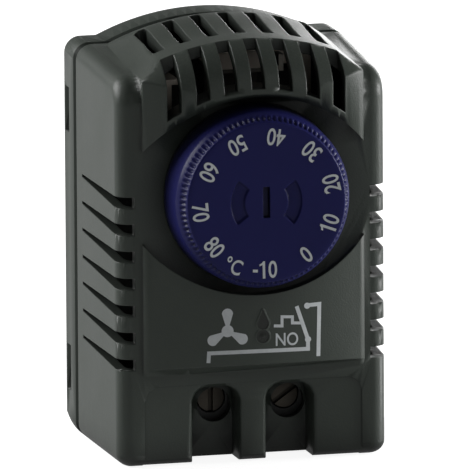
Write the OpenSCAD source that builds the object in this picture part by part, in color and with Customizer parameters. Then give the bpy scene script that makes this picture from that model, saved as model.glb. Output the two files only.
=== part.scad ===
// Panel thermostat for a 35 mm rail: arched vented cover, blue setting dial,
// two screw terminals, a bimetal strip with a magnet snap and a sprung rail latch.
// X runs to the right of someone facing the dial, Y runs to the rail, Z runs up.

/* [Case] */
// Width of the case at the parting line
case_w = 46.9; // [45:0.1:57]
// Draft of each side from the parting line to the front
side_draft = 0.5; // [0.2:0.1:0.8]
// Depth from the front columns to the back face
case_d = 34.5; // [33.5:0.5:42]
// Height of the shoulders at the parting line
shoulder_h = 66.9; // [66:0.5:72]
// Drop of the shoulders from the parting line to the front
shoulder_fall = 1.4; // [0.8:0.1:3]
// Rounding of the case corners seen from the front
corner_r = 2.7; // [1.5:0.1:3.5]
// Rounding of the upright front edges
edge_r = 2.6; // [1.5:0.1:3.5]
// Rounding from the shoulders into the front
brow_r = 5; // [4:0.5:7]
// Rounding of the lower front edge
toe_r = 2.2; // [1:0.1:3]
// Thickness of the moulded walls
wall = 1.8; // [1.4:0.1:2.2]
// Height of the middle of the underside above the feet
foot_h = 0.3; // [0.1:0.1:0.6]

/* [Parting line] */
// Depth of the rear base behind the shadow groove
base_d = 6.3; // [5.5:0.1:8]
// Width of the shadow groove
groove_w = 2; // [1:0.1:2.6]
// Depth of the shadow groove
groove_in = 0.8; // [0.4:0.1:1]
// Overlap of the base tongue inside the cover
tongue_l = 3; // [2:0.1:5]
// Height of the sloping cut along the rear lower edge
heel_h = 3.3; // [1:0.1:5]
// Height of the slots in the sides of the base
notch_h = 7.6; // [5:0.1:9]
// Width of the slots in the sides of the base
notch_w = 2.7; // [2:0.1:3.2]
// Depth of the slots in the sides of the base
notch_in = 1.4; // [1:0.1:1.6]

/* [Hood] */
// Width of the vented hood and of the lower panel
hood_w = 37.7; // [34:0.1:39]
// Height of the centre of the arch above the feet
arch_z = 29.5; // [28:0.1:31]
// Radius of the arch at the parting line
arch_r = 41.5; // [41:0.1:43]
// Swell of the arch over the top vents
arch_swell = 1.25; // [0.5:0.05:1.6]
// Distance that the hood stands in front of the columns
hood_out = 4.75; // [3.5:0.05:6]
// Depth of the ellipse that rounds the hood's nose
nose_d = 13.3; // [11:0.1:15]
// Height of the ellipse that rounds the hood's nose
nose_h = 9.4; // [8:0.1:11]
// Radius of the sides of the hood seen from above
cheek_r = 19.8; // [16:0.1:24]
// Half width of the flat middle of the hood seen from above
cheek_x = 7; // [5:0.1:9]
// Radius of the arched edges above and below the dial
bay_r = 24.3; // [22:0.1:28]
// Distance from the dial's axis to the arched edges
bay_gap = 16.8; // [16.6:0.1:17.6]

/* [Vents] */
// Number of vents across the hood
vent_n = 7; // [5:2:7]
// Spacing of the vents
vent_pitch = 4.67; // [4.4:0.01:4.8]
// Width of a front vent
vent_w = 2.25; // [1.8:0.05:2.6]
// Width of a top vent
top_vent_w = 2; // [1.8:0.05:2.4]
// Rounding of the ends of a top vent
vent_end_r = 0.5; // [0.3:0.05:0.8]
// Front end of the top vents behind the columns
vent_front = 6.9; // [6:0.1:8]
// Back end of the top vents behind the columns
vent_back = 20.2; // [18:0.1:22]
// Upper end of the front vents behind the columns
vent_top = 1.8; // [1:0.1:3]
// Width of the rim between the front vents and the hood's edge
vent_rim = 1.3; // [1:0.1:2]

/* [Louvres] */
// Number of louvres on each side
louvre_n = 7; // [4:1:7]
// Spacing of the louvres
louvre_pitch = 4.55; // [4.2:0.05:4.6]
// Height of the top edge of the highest louvre
louvre_z = 45.7; // [44:0.1:47]
// Height of a louvre at the front
louvre_h = 1.95; // [1.4:0.05:2.4]
// Height of a louvre at its rear tip
louvre_tip = 0.5; // [0.3:0.05:0.8]
// Rear end of the louvres behind the columns
louvre_back = 22.8; // [18:0.1:24]
// Distance that a louvre runs in from the side
louvre_in = 3.4; // [2.5:0.1:4]

/* [Lower front] */
// Distance that the lower panel stands in front of the columns
panel_out = 1.05; // [0.6:0.05:1.5]
// Height of the lower panel's foot
panel_z = 15.4; // [14.8:0.1:17]
// Height of the slope below the lower panel
panel_slope = 1.3; // [0.8:0.1:2]
// Half width of the terminal pad
pad_x = 18.6; // [17:0.1:19]
// Height of the terminal pad
pad_h = 13.6; // [13:0.1:14.2]
// Depth that the terminal pad is set back
pad_in = 0.25; // [0.1:0.05:0.5]
// Distance of the terminal channels from the middle
channel_x = 6.3; // [5.8:0.1:6.8]
// Width of a terminal channel
channel_w = 8.1; // [7.6:0.1:8.6]
// Height of a terminal channel
channel_h = 13; // [12:0.1:13.2]
// Depth of a terminal channel
channel_d = 5.9; // [5:0.1:6.4]
// Thickness of the walls round a terminal channel
channel_t = 1.5; // [1.2:0.1:1.8]
// Flare of a terminal channel's mouth
channel_flare = 0.6; // [0.3:0.1:0.8]
// Sideways shift of the terminals in their channels
term_shift = 1; // [0.5:0.1:1.4]
// Radius of a driver hole
driver_r = 2.9; // [2.6:0.05:3.2]
// Height of the driver holes
driver_z = 8.9; // [8.6:0.1:9.2]
// Radius of a wire hole in the underside
wire_r = 1.9; // [1.5:0.05:2.1]

/* [Dial] */
// Height of the dial's axis above the feet
dial_z = 45.55; // [45:0.05:46]
// Distance of the dial's face in front of the columns
dial_out = 9.5; // [8.5:0.1:10.5]
// Radius of the dial's face
face_r = 13; // [12:0.1:13.5]
// Radius of the dial's rim
rim_r = 14.75; // [14.2:0.05:15]
// Depth of the bevel behind the face
bevel_d = 2.9; // [2:0.1:4]
// Radius of the skirt at the cover
skirt_r = 15.4; // [15:0.1:15.8]
// Gap between the dial's skirt and the cover
skirt_gap = 0.45; // [0.3:0.05:0.8]
// Wall of the dial
dial_wall = 1.6; // [1.2:0.1:2]
// Radius of the dial's shaft
shaft_r = 2.5; // [2.2:0.05:2.8]
// Running clearance of the shaft in the cover
shaft_fit = 0.08; // [0.04:0.01:0.1]
// Width of the driver slot in the face
slot_w = 1.2; // [0.8:0.1:1.6]
// Length of the driver slot in the face
slot_l = 5.2; // [4:0.1:6]
// Depth of the driver slot in the face
slot_d = 0.9; // [0.5:0.1:1.1]

/* [Setting cam] */
// Turn of the dial from the lowest to the highest mark
turn_a = 307; // [270:1:310]
// Lift of the cam over the whole turn
cam_lift = 1.2; // [0.8:0.1:1.4]
// Outer radius of the cam
cam_r = 6.2; // [5.8:0.1:6.6]
// Inner radius of the cam's ramp
ramp_r = 3.9; // [3.8:0.05:4.2]
// Thickness of the cam's disc
cam_t = 1.9; // [1.6:0.1:2.2]
// Lowest height of the ramp above the disc
ramp_low = 0.5; // [0.3:0.1:0.8]
// Length of the blade's nose
nose_l = 1.9; // [1.7:0.1:2.2]
// Radius at which the blade follows the ramp
nose_at = 5; // [4.8:0.1:5.3]
// Gap between pieces that move against each other
run_gap = 0.2; // [0.15:0.01:0.3]

/* [Contacts] */
// Thickness of the contact blade
blade_t = 0.4; // [0.3:0.05:0.6]
// Width of the contact blade
blade_w = 7; // [6:0.1:8]
// Height of the blade's bending line
blade_z = 19; // [18.4:0.1:19.6]
// Height of the contacts
contact_z = 31; // [30.5:0.1:32]
// Radius of a contact
contact_r = 1.6; // [1.2:0.1:2]
// Thickness of a contact
contact_t = 0.8; // [0.6:0.1:1]
// Thickness of the bimetal strip
strip_t = 0.7; // [0.5:0.05:0.9]
// Width of the bimetal strip
strip_w = 9; // [8:0.1:10]
// Height of the strip's bending line
strip_z = 57.5; // [56:0.1:58.5]
// Height of the strip's free end
strip_end = 25; // [24.8:0.1:25.6]
// Edge of the square magnet seen from the front
magnet_w = 5; // [4:0.1:5.6]
// Depth of the magnet
magnet_d = 3.4; // [3:0.1:3.8]
// Gap between the magnet and the steel tab
magnet_gap = 0.5; // [0.4:0.05:0.7]
// Thickness of the steel tab
tab_t = 0.8; // [0.6:0.1:1]

/* [Terminals] */
// Radius of a terminal screw's head
head_r = 2.3; // [2:0.05:2.5]
// Thickness of a terminal screw's head
head_t = 1.4; // [1.1:0.1:1.6]
// Height of a terminal screw
screw_z = 9.6; // [9.3:0.1:9.9]
// Radius of a terminal screw's thread
thread_r = 1.7; // [1.5:0.05:1.8]
// Running clearance of the thread in its cage
thread_fit = 0.07; // [0.05:0.01:0.1]
// Travel of a clamp cage
cage_travel = 2.6; // [2:0.1:2.8]
// Width of a clamp cage
cage_w = 6.2; // [5.6:0.1:6.4]
// Height of a clamp cage
cage_h = 5; // [4.6:0.1:5.2]
// Wall of a clamp cage
cage_t = 1; // [0.8:0.1:1.1]
// Thickness of a terminal bar
bar_t = 1; // [0.8:0.1:1.1]
// Width of a terminal bar
bar_w = 3.4; // [3:0.1:3.8]

/* [Carrier] */
// Thickness of the carrier's plate
plate_t = 2.5; // [2:0.1:2.6]
// Front face of the carrier's plate behind the columns
plate_y = 21.6; // [21.4:0.1:21.8]
// Radius of a carrier screw
fix_r = 1.2; // [1:0.05:1.4]
// Radius of a carrier screw's head
fix_head_r = 2.2; // [1.8:0.1:2.4]
// Thickness of the carrier's ribs and of the link strip
rib_t = 1.2; // [1:0.1:1.4]
// Thickness of the bent stay beside the strip
stay_t = 0.9; // [0.7:0.05:1.1]

/* [Rail clip] */
// Height of the rail's centre line above the feet
rail_z = 33.1; // [32.5:0.1:34]
// Height of the rail
rail_h = 35; // [35:0.1:35.4]
// Room for the rail's flange behind the back face
flange_gap = 1.5; // [1.2:0.1:2]
// Depth of the hooks behind the back face
hook_d = 3.8; // [3.4:0.1:4.4]
// Reach of the hooks over the flange
hook_lip = 1.7; // [1.4:0.1:2]
// Width of the fixed hook
hook_w = 14; // [10:0.5:18]
// Width of the sliding latch
latch_w = 13.8; // [12:0.1:15]
// Travel of the latch
latch_travel = 2.5; // [2:0.1:2.5]
// Lower end of the latch above the feet
latch_z = 2.7; // [2.6:0.05:3]
// Radius of the latch spring
spring_r = 1.2; // [1:0.05:1.3]
// Radius of the latch spring's wire
spring_wire = 0.2; // [0.15:0.01:0.22]
// Length of the latch spring at rest
spring_l = 5.6; // [5.4:0.1:6]
// Number of turns of the latch spring
spring_turns = 5; // [4:1:5]

/* [Hidden] */

// One overrun for every cut, and one hair's breadth for fits within a body
over = 1;
snug = 0.05;
thin = 0.01;
$fn = 48;
hull_fn = 32;

// Places along the depth, from the front columns
back_y = case_d;
base_y = case_d - base_d;
cover_y = base_y - groove_w;
part_y = base_y - groove_w / 2;
full_d = dial_out + case_d + hook_d;
mid_y = (case_d + hook_d - dial_out) / 2;

// Stack of the moving pieces along the depth: bush, washer, cam, clip, blade, strip
boss_y = 6;
boss_wall = 2;
washer_gap = 0.15;
washer_t = 0.3;
washer_y = boss_y + washer_gap;
cam_y = washer_y + washer_t;
clip_y = cam_y + cam_t;
clip_t = 0.6;
groove_r = 2.05;
shaft_tail = 0.5;
shaft_end = clip_y + clip_t + shaft_tail;
nose_tip = clip_y + ramp_low + cam_lift + run_gap;
blade_y = nose_tip + nose_l;
set_y = blade_y + blade_t + contact_t;
strip_y = set_y + run_gap + contact_t;

// Stack of the terminals: screw head, its seat, the cage's pocket and the bar
head_gap = 0.8;
head_y = channel_d + channel_t + head_gap;
seat_y = head_y + head_t + snug;
seat_t = 1.2;
pocket_y = seat_y + seat_t;
cage_front = pocket_y + run_gap + cage_travel;
cage_d = 7;
bar_gap = 0.7;
bar_y = cage_front + cage_t + bar_gap;
wire_y = (bar_y + bar_t + cage_front + cage_d - cage_t) / 2;

// Places on the carrier
plate_in = 2.35;
plate_foot = 4;
plate_head = 3.1;
plate_x = case_w / 2 - wall - plate_in;
plate_z = [plate_foot, shoulder_h - wall - plate_head];
bridge_w = 8.5;
bridge_shift = -0.25;
bridge_t = 2.8;
bridge_gap = 1.4;
bridge_top = arch_z + arch_r - wall - bridge_gap;
bridge_x = [bridge_shift - bridge_w / 2, bridge_shift + bridge_w / 2];
bridge_z = [bridge_top - bridge_t, bridge_top];
bridge_y = 7.2;
stay_x = -12.9;
stay_l = 13.9;
stay_drop = 3;
stay_z = [shoulder_h - stay_drop - stay_l, shoulder_h - stay_drop];
stay_y = 6.6;
stay_top = 2.1;
magnet_side = 4.5;
magnet_drop = 0.4;
magnet_x = blade_w / 2 + magnet_side;
magnet_z = strip_end - magnet_drop;
magnet_y = strip_y + strip_t - magnet_gap - magnet_d;
arm_wall = 0.4;
arm_x = [magnet_x - magnet_w / 2 - arm_wall, magnet_x + magnet_w / 2 + arm_wall];
arm_h = 3.6;
term_x = [-channel_x + term_shift, channel_x + term_shift];
block_wall = 1.4;
block_side = cage_w / 2 + run_gap + block_wall;
block_up = 2.8;
block_down = 6.2;
block_roof = 0.4;
block_x = [term_x[0] - block_side, term_x[1] + block_side];
block_z = [screw_z - block_down, screw_z + block_up];
block_top = block_z[1];
pocket_z = [block_z[0] - over, block_top - block_roof];
foot_y = blade_y + blade_t + bar_t;
foot_gap = 0.6;
foot_top = blade_z - foot_gap;
tab_h = 3.5;

// Colours of the pieces
slate = [0.21, 0.23, 0.22];
cream = [0.86, 0.83, 0.74];
blue = [0.13, 0.13, 0.38];
tin = [0.74, 0.74, 0.72];
copper = [0.72, 0.45, 0.27];
silver = [0.88, 0.88, 0.88];
steel = [0.58, 0.58, 0.6];

// The whole part stands centred over the origin
module place() { translate([0, -mid_y, 0]) children(); }

// A block between two corners
module block(x, y, z) {
  translate([x[0], y[0], z[0]]) cube([x[1] - x[0], y[1] - y[0], z[1] - z[0]]);
}

// A disc or rod along Y
module rod(r, y, x = 0, z = 0) {
  translate([x, y[0], z]) rotate([-90, 0, 0]) cylinder(r = r, h = y[1] - y[0]);
}

// A front elevation carried along Y, and a side elevation carried along X
module along_y(y) { translate([0, y[1], 0]) rotate([90, 0, 0]) linear_extrude(y[1] - y[0]) children(); }
module along_x(x) { translate([x[0], 0, 0]) rotate([90, 0, 90]) linear_extrude(x[1] - x[0]) children(); }

// A profile of [radius, y] turned about an axis along Y
module turned(z = 0) { translate([0, 0, z]) rotate([-90, 0, 0]) rotate_extrude($fn = 96) children(); }

// A rectangle with true round corners, standing on z
module rounded(w, h, r, z = 0) {
  translate([-w / 2 + r, z]) square([w - 2 * r, h]);
  translate([-w / 2, z + r]) square([w, h - 2 * r]);
  for (sx = [-1, 1], sz = [0, 1]) translate([sx * (w / 2 - r), z + r + sz * (h - 2 * r)]) circle(r = r);
}

// Front elevation of the case behind the hood, set in by o
module elevation(o) {
  rounded(case_w - 2 * o, shoulder_h - 2 * o, max(corner_r - o, corner_r / 3), o);
  intersection() {
    translate([0, arch_z]) circle(r = arch_r - o, $fn = 96);
    translate([-hood_w / 2 + o, arch_z]) square([hood_w - 2 * o, arch_r]);
  }
}

// The cover's plain body, with drafted shoulders and soft front edges, set in by o
front_h = shoulder_h - shoulder_fall;
front_x = case_w / 2 - side_draft;
module plain_body(o) {
  e = edge_r - o / 2;
  hull() {
    along_y([cover_y - thin, cover_y])
      rounded(case_w - 2 * o, shoulder_h - 2 * o, max(corner_r - o, corner_r / 3), o, $fn = hull_fn);
    for (sx = [-1, 1]) {
      translate([sx * (front_x - o - e), o + brow_r, front_h - o - brow_r]) soft_corner(brow_r, e);
      translate([sx * (front_x - o - e), o + e, o + toe_r])
        scale([1, 1, toe_r / e]) soft_corner(e, e);
    }
  }
}

// A disc about X, r at its rim, with edges rounded by e: a ball where r is e
module soft_corner(r, e) {
  rotate([0, 90, 0]) rotate_extrude($fn = hull_fn) intersection() {
    translate([r - e, 0]) circle(r = e, $fn = hull_fn);
    translate([0, -e]) square([r, 2 * e]);
  }
}

// The hood's section: straight back, swell over the vents, crease, rounded nose
crease_share = 0.1;
crease_r = arch_r + crease_share * arch_swell;
swell_y = vent_back;
fall_y = vent_front;
nose_start = 30;
nose_root = crease_r - nose_h * cos(nose_start);
nose_steps = 16;
swell_steps = 10;
function swell(t) = arch_swell * (1 - cos(180 * t)) / 2;
function hood_profile(o) = concat(
  [[crease_r / 2, cover_y], [arch_r - o, cover_y]],
  [for (i = [1 : swell_steps]) let (t = i / swell_steps)
    [arch_r - o + swell(t), cover_y + (swell_y - cover_y) * t]],
  [for (i = [1 : swell_steps]) let (t = i / swell_steps)
    [arch_r - o + arch_swell + (crease_r - arch_r - arch_swell) * (1 - cos(180 * t)) / 2,
     swell_y + (fall_y - swell_y) * t]],
  [for (i = [0 : nose_steps]) let (a = nose_start + (90 - nose_start) * i / nose_steps)
    [nose_root + (nose_h - o) * cos(a), nose_d - hood_out - (nose_d - o) * sin(a)]],
  [[crease_r / 2, o - hood_out]]);

// Plan of the hood: flat middle and two round cheeks
module hood_plan(o) {
  translate([-cheek_x, o - hood_out]) square([2 * cheek_x, cover_y + hood_out]);
  for (sx = [-1, 1]) intersection() {
    translate([sx * cheek_x, cheek_r - hood_out]) circle(r = cheek_r - o, $fn = 96);
    translate([sx * hood_w / 4 - hood_w / 4, -hood_out]) square([hood_w / 2, cheek_r]);
  }
  translate([-hood_w / 2, cheek_r - hood_out]) square([hood_w, cover_y]);
}

// Front elevation of the hood: upright sides, and flanks that fall to the shoulders
flank_w = 12;
flank_h = 9;
flank_in = 0.2;
module hood_front(o) {
  w = hood_w / 2 - o;
  side = shoulder_h - flank_in - o;
  polygon([[-w, arch_z], [w, arch_z], [w, side], [w - flank_w, side + flank_h],
    [flank_w - w, side + flank_h], [-w, side]]);
}

module hood_form(o) {
  intersection() {
    turned(arch_z) polygon(hood_profile(o));
    translate([0, 0, arch_z]) linear_extrude(arch_r + arch_swell + over) hood_plan(o);
    translate([0, cover_y, shoulder_h]) rotate([atan(shoulder_fall / cover_y), 0, 0])
      translate([0, -cover_y, -shoulder_h]) along_y([-2 * hood_out, cover_y + over]) hood_front(o);
  }
}

// Arched edges above and below the dial
upper_bay_z = dial_z + bay_gap - bay_r;
lower_bay_z = dial_z - bay_gap + bay_r;

// The raised lower panel, sloping away at its foot
module lower_panel() {
  difference() {
    along_x([-hood_w / 2, hood_w / 2])
      polygon([[wall, panel_z], [0, panel_z], [-panel_out, panel_z + panel_slope],
        [-panel_out, dial_z], [wall, dial_z]]);
    rod(bay_r, [-panel_out - over, over], 0, lower_bay_z);
  }
}

// Vents through the top and the nose of the hood
vent_floor = shoulder_h - shoulder_fall - wall;
vent_roof = arch_z + arch_r + arch_swell + over;
module vents() {
  for (i = [0 : vent_n - 1]) translate([(i - (vent_n - 1) / 2) * vent_pitch, 0, vent_floor])
    linear_extrude(vent_roof - vent_floor)
      rounded(top_vent_w, vent_back - vent_front, vent_end_r, vent_front);
  difference() {
    for (i = [0 : vent_n - 1]) {
      x = (i - (vent_n - 1) / 2) * vent_pitch;
      block([x - vent_w / 2, x + vent_w / 2], [-hood_out - over, vent_top],
        [dial_z + rim_r / 2, vent_roof]);
    }
    rod(bay_r + vent_rim, [-hood_out - 2 * over, vent_top + over], 0, upper_bay_z);
  }
}

// One louvre on each side: level above, rising below to a narrow tip
module louvres() {
  bend = edge_r;
  for (sx = [0, 1], i = [0 : louvre_n - 1])
    mirror([sx, 0, 0]) translate([0, 0, louvre_z - i * louvre_pitch])
      along_x([case_w / 2 - louvre_in, case_w / 2 + over])
        polygon([[-over, 0], [-over, -louvre_h], [bend / 4, -louvre_h],
          [louvre_back, -louvre_tip], [louvre_back, 0]]);
}

// Terminal channels, driver holes and wire holes
module channel_shape(grow) {
  w = channel_w + 2 * grow;
  r = channel_w / 3 + grow;
  translate([-w / 2, -over]) square([w, channel_h + grow - r + over]);
  for (sx = [-1, 1]) translate([sx * (w / 2 - r), channel_h + grow - r]) circle(r = r);
  translate([-w / 2 + r, 0]) square([w - 2 * r, channel_h + grow]);
}
module channel_mouth() {
  hull() {
    along_y([pad_in - over, pad_in]) channel_shape(channel_flare, $fn = hull_fn);
    along_y([pad_in, pad_in + channel_flare]) channel_shape(0, $fn = hull_fn);
  }
}
module at_channels() { for (sx = [-1, 1]) translate([sx * channel_x, 0, 0]) children(); }

boss_r = shaft_r + shaft_fit + boss_wall;
module front_cover() {
  place() color(slate) difference() {
    union() {
      difference() {
        union() {
          plain_body(0);
          difference() {
            hood_form(0);
            rod(bay_r, [-hood_out - over, over], 0, upper_bay_z);
            block([-case_w, case_w], [-hood_out - over, over], [0, upper_bay_z]);
          }
          along_y([cover_y, part_y]) elevation(groove_in);
        }
        plain_body(wall);
        intersection() {
          hood_form(wall);
          union() {
            block([-case_w, case_w], [wall, cover_y + over], [0, arch_z + arch_r + arch_swell]);
            difference() {
              block([-case_w, case_w], [-hood_out, 2 * wall], [upper_bay_z, arch_z + arch_r + arch_swell]);
              rod(bay_r + vent_rim, [-hood_out - over, 2 * wall + over], 0, upper_bay_z);
            }
          }
        }
        along_y([cover_y - over, part_y + over]) elevation(wall);
      }
      lower_panel();
      rod(boss_r, [wall / 2, boss_y], 0, dial_z);
      intersection() {
        at_channels() along_y([wall / 2, channel_d + channel_t]) channel_shape(channel_t);
        plain_body(wall / 2);
      }
    }
    rod(shaft_r + shaft_fit, [-over, boss_y + over], 0, dial_z);
    vents();
    louvres();
    // Terminal pad, its channels and holes
    along_y([-over, pad_in]) rounded(2 * pad_x, pad_h + corner_r, corner_r, -corner_r);
    block([-pad_x, pad_x], [-over, part_y + over], [-over, foot_h]);
    at_channels() {
      along_y([-over, channel_d]) channel_shape(0);
      channel_mouth();
    }
    for (x = term_x) {
      rod(driver_r, [channel_d - over, channel_d + channel_t + over], x, driver_z);
      translate([x, wire_y, -over]) cylinder(r = wire_r, h = wall + 2 * over);
    }
  }
}

// Rear base: shallow shell with tongue, side slots, heel cut and rail hook
notch_gap = 0.6;
notch_wall = 0.5;
tongue_in = wall + snug + shoulder_fall * tongue_l / cover_y;
notches = [[rail_z - rail_h / 2 - notch_gap - notch_h, rail_z - rail_h / 2 - notch_gap],
  [rail_z + rail_h / 2 + notch_gap, rail_z + rail_h / 2 + notch_gap + notch_h]];
hook_z = rail_z + rail_h / 2 + run_gap;
hook_h = 3.4;
guide_t = 1.8;
guide_lip = 0.7;
guide_h = 9.5;
guide_z = heel_h + run_gap;
latch_y = back_y + run_gap;
latch_step = 2.1;
peg_z = 6.5;
peg_h = 1;
peg_w = 2.4;
fix_in = 3;
fix_low = 4.5;
fix_high = 7;
fix_x = plate_x - fix_in;
fix_z = [plate_z[0] + fix_low, plate_z[1] - fix_high];
fix_at = [[-fix_x, fix_z[0]], [fix_x, fix_z[0]], [-fix_x, fix_z[1]], [fix_x, fix_z[1]]];
post_wall = 1.6;
post_r = fix_r + post_wall;
module rear_base() {
  place() color(slate) difference() {
    union() {
      difference() {
        union() {
          along_y([base_y, back_y]) elevation(0);
          along_y([part_y, base_y]) elevation(groove_in);
          along_y([part_y - tongue_l, part_y]) elevation(tongue_in);
        }
        along_y([part_y - tongue_l - over, back_y - wall]) elevation(2 * wall);
      }
      for (p = fix_at) rod(post_r, [plate_y + plate_t, back_y - wall / 2], p[0], p[1]);
      // Fixed hook, latch guides and spring peg behind the back face
      block([-hook_w / 2, hook_w / 2], [back_y - thin, back_y + hook_d], [hook_z, hook_z + hook_h]);
      block([-hook_w / 2, hook_w / 2], [back_y + flange_gap, back_y + hook_d],
        [hook_z - hook_lip, hook_z + thin]);
      for (sx = [0, 1]) mirror([sx, 0, 0]) {
        block([latch_w / 2 + run_gap, latch_w / 2 + guide_t], [back_y - thin, back_y + hook_d],
          [guide_z, guide_z + guide_h]);
        block([latch_w / 2 - guide_lip, latch_w / 2 + guide_t],
          [latch_y + latch_step + run_gap, back_y + hook_d], [guide_z, guide_z + guide_h]);
      }
      block([-peg_w / 2, peg_w / 2], [back_y - thin, back_y + hook_d - flange_gap / 2],
        [peg_z, peg_z + peg_h]);
    }
    for (p = fix_at) rod(fix_r, [plate_y, back_y - wall / 2], p[0], p[1]);
    for (s = notches, sx = [0, 1]) mirror([sx, 0, 0])
      block([case_w / 2 - notch_in, case_w / 2 + over],
        [back_y - notch_wall - notch_w, back_y - notch_wall], s);
    along_x([-case_w, case_w]) polygon([[part_y - tongue_l - over, -over], [part_y, 0],
      [back_y, heel_h], [back_y + hook_d, heel_h], [back_y + hook_d, -over]]);
  }
}

// Dark carrier: plate, magnet arm, blade block and terminal block
module carrier() {
  place() color(slate) difference() {
    union() {
      block([-plate_x, plate_x], [plate_y, plate_y + plate_t], plate_z);
      block(bridge_x, [plate_y, plate_y + plate_t], [plate_z[1] - thin, bridge_z[1]]);
      block(arm_x, [magnet_y - rib_t, plate_y + thin], [magnet_z - arm_h, magnet_z]);
      block(arm_x, [magnet_y - rib_t, magnet_y], [magnet_z - thin, magnet_z + magnet_w / 2]);
      block([-blade_w / 2, blade_w / 2], [foot_y, plate_y + thin], [block_top - thin, foot_top]);
      block(block_x, [head_y, plate_y + thin], block_z);
    }
    for (p = fix_at) rod(fix_r, [plate_y - over, plate_y + plate_t + over], p[0], p[1]);
    for (x = term_x) {
      rod(head_r + run_gap, [head_y - over, seat_y], x, screw_z);
      rod(thread_r + thread_fit, [head_y, pocket_y + over], x, screw_z);
      block([x - cage_w / 2 - run_gap, x + cage_w / 2 + run_gap], [pocket_y, plate_y], pocket_z);
      block([x - bar_w / 2 - run_gap, x + bar_w / 2 + run_gap], [bar_y - run_gap, bar_y + bar_t + run_gap],
        [block_top - over, block_top + over]);
    }
  }
}

// Cream bridge that carries the strip's bracket under the vents
module strip_bridge() {
  place() color(cream) block(bridge_x, [bridge_y, plate_y], bridge_z);
}

// Bent stay beside the strip: an upright leg with a short head
module side_stay() {
  place() color(tin) {
    block([stay_x, stay_x + stay_t], [stay_y, plate_y], stay_z);
    block([stay_x, stay_x + stay_top], [stay_y, plate_y], [stay_z[1] - stay_t, stay_z[1]]);
  }
}

// Four screws hold the carrier on the posts of the base
module carrier_screws() {
  place() color(steel) for (p = fix_at) difference() {
    union() {
      rod(fix_head_r, [plate_y - rib_t, plate_y], p[0], p[1]);
      rod(fix_r - snug, [plate_y - thin, back_y - 2 * wall], p[0], p[1]);
    }
    block([p[0] - fix_head_r, p[0] + fix_head_r], [plate_y - rib_t - over, plate_y - rib_t / 2],
      [p[1] - fix_r / 3, p[1] + fix_r / 3]);
  }
}

// Dial: a cap with skirt, bevel and hub
hub_r = 4.2;
hub_y = -1;
face_edge = 0.3;
shaft_front = -dial_out + dial_wall;
module dial() {
  s = -skirt_gap;
  place() color(blue) difference() {
    turned(dial_z) polygon([[0, -dial_out], [face_r - face_edge, -dial_out],
      [face_r, -dial_out + face_edge], [rim_r, -dial_out + bevel_d], [skirt_r, s],
      [skirt_r - dial_wall, s], [rim_r - dial_wall, -dial_out + bevel_d + dial_wall / 3],
      [face_r - dial_wall, -dial_out + dial_wall],
      [hub_r, -dial_out + dial_wall], [hub_r, hub_y], [shaft_r + snug, hub_y],
      [shaft_r + snug, shaft_front], [0, shaft_front]]);
    block([-slot_w / 2, slot_w / 2], [-dial_out - over, -dial_out + slot_d],
      [dial_z - slot_l / 2, dial_z + slot_l / 2]);
  }
}

// Shaft with a groove for its clip
module dial_spindle() {
  place() color(steel) translate([0, 0, dial_z]) difference() {
    rod(shaft_r, [shaft_front + snug, shaft_end]);
    difference() {
      rod(shaft_r + over, [clip_y, clip_y + clip_t]);
      rod(groove_r, [clip_y - over, clip_y + clip_t + over]);
    }
  }
}

// Face cam: a disc with a ramp that rises as the dial turns up
ramp_n = 48;
ramp_rest = 20;
ramp_span = turn_a + 2 * ramp_rest;
ramp_out = cam_r - run_gap;
function ramp_at(a) = clip_y + ramp_low + cam_lift * (1 - min(max((a - ramp_rest) / turn_a, 0), 1));
module ramp() {
  step = ramp_span / ramp_n;
  pts = [for (i = [0 : ramp_n]) let (a = i * step, t = a - 90 - ramp_rest)
    each [[ramp_r * cos(t), clip_y - cam_t / 2, ramp_r * sin(t)],
      [ramp_out * cos(t), clip_y - cam_t / 2, ramp_out * sin(t)],
      [ramp_out * cos(t), ramp_at(a), ramp_out * sin(t)],
      [ramp_r * cos(t), ramp_at(a), ramp_r * sin(t)]]];
  sides = [for (i = [0 : ramp_n - 1], k = [0 : 3]) let (a = 4 * i + k, b = 4 * i + (k + 1) % 4)
    [a, b, b + 4, a + 4]];
  tri = [for (f = sides) each [[f[0], f[2], f[1]], [f[0], f[3], f[2]]]];
  end = 4 * ramp_n;
  polyhedron(pts, concat(tri, [[0, 1, 2, 3], [end + 3, end + 2, end + 1, end]]));
}
module spindle_cam() {
  place() color(cream) translate([0, 0, dial_z]) union() {
    difference() {
      rod(cam_r, [cam_y, clip_y]);
      rod(shaft_r + snug, [cam_y - over, clip_y + over]);
    }
    ramp();
  }
}

// Snap ring in the shaft's groove
clip_in = 0.5;
module spindle_clip() {
  place() color(steel) translate([0, 0, dial_z]) difference() {
    rod(ramp_r - clip_in, [clip_y + snug, clip_y + clip_t - snug]);
    rod(groove_r + snug, [clip_y - over, clip_y + clip_t + over]);
    block([-groove_r / 2, groove_r / 2], [clip_y - over, clip_y + clip_t + over], [0, ramp_r]);
  }
}

module friction_washer() {
  place() color(steel) translate([0, 0, dial_z]) difference() {
    rod(boss_r, [washer_y, cam_y]);
    rod(shaft_r + snug, [washer_y - over, cam_y + over]);
  }
}

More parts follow.
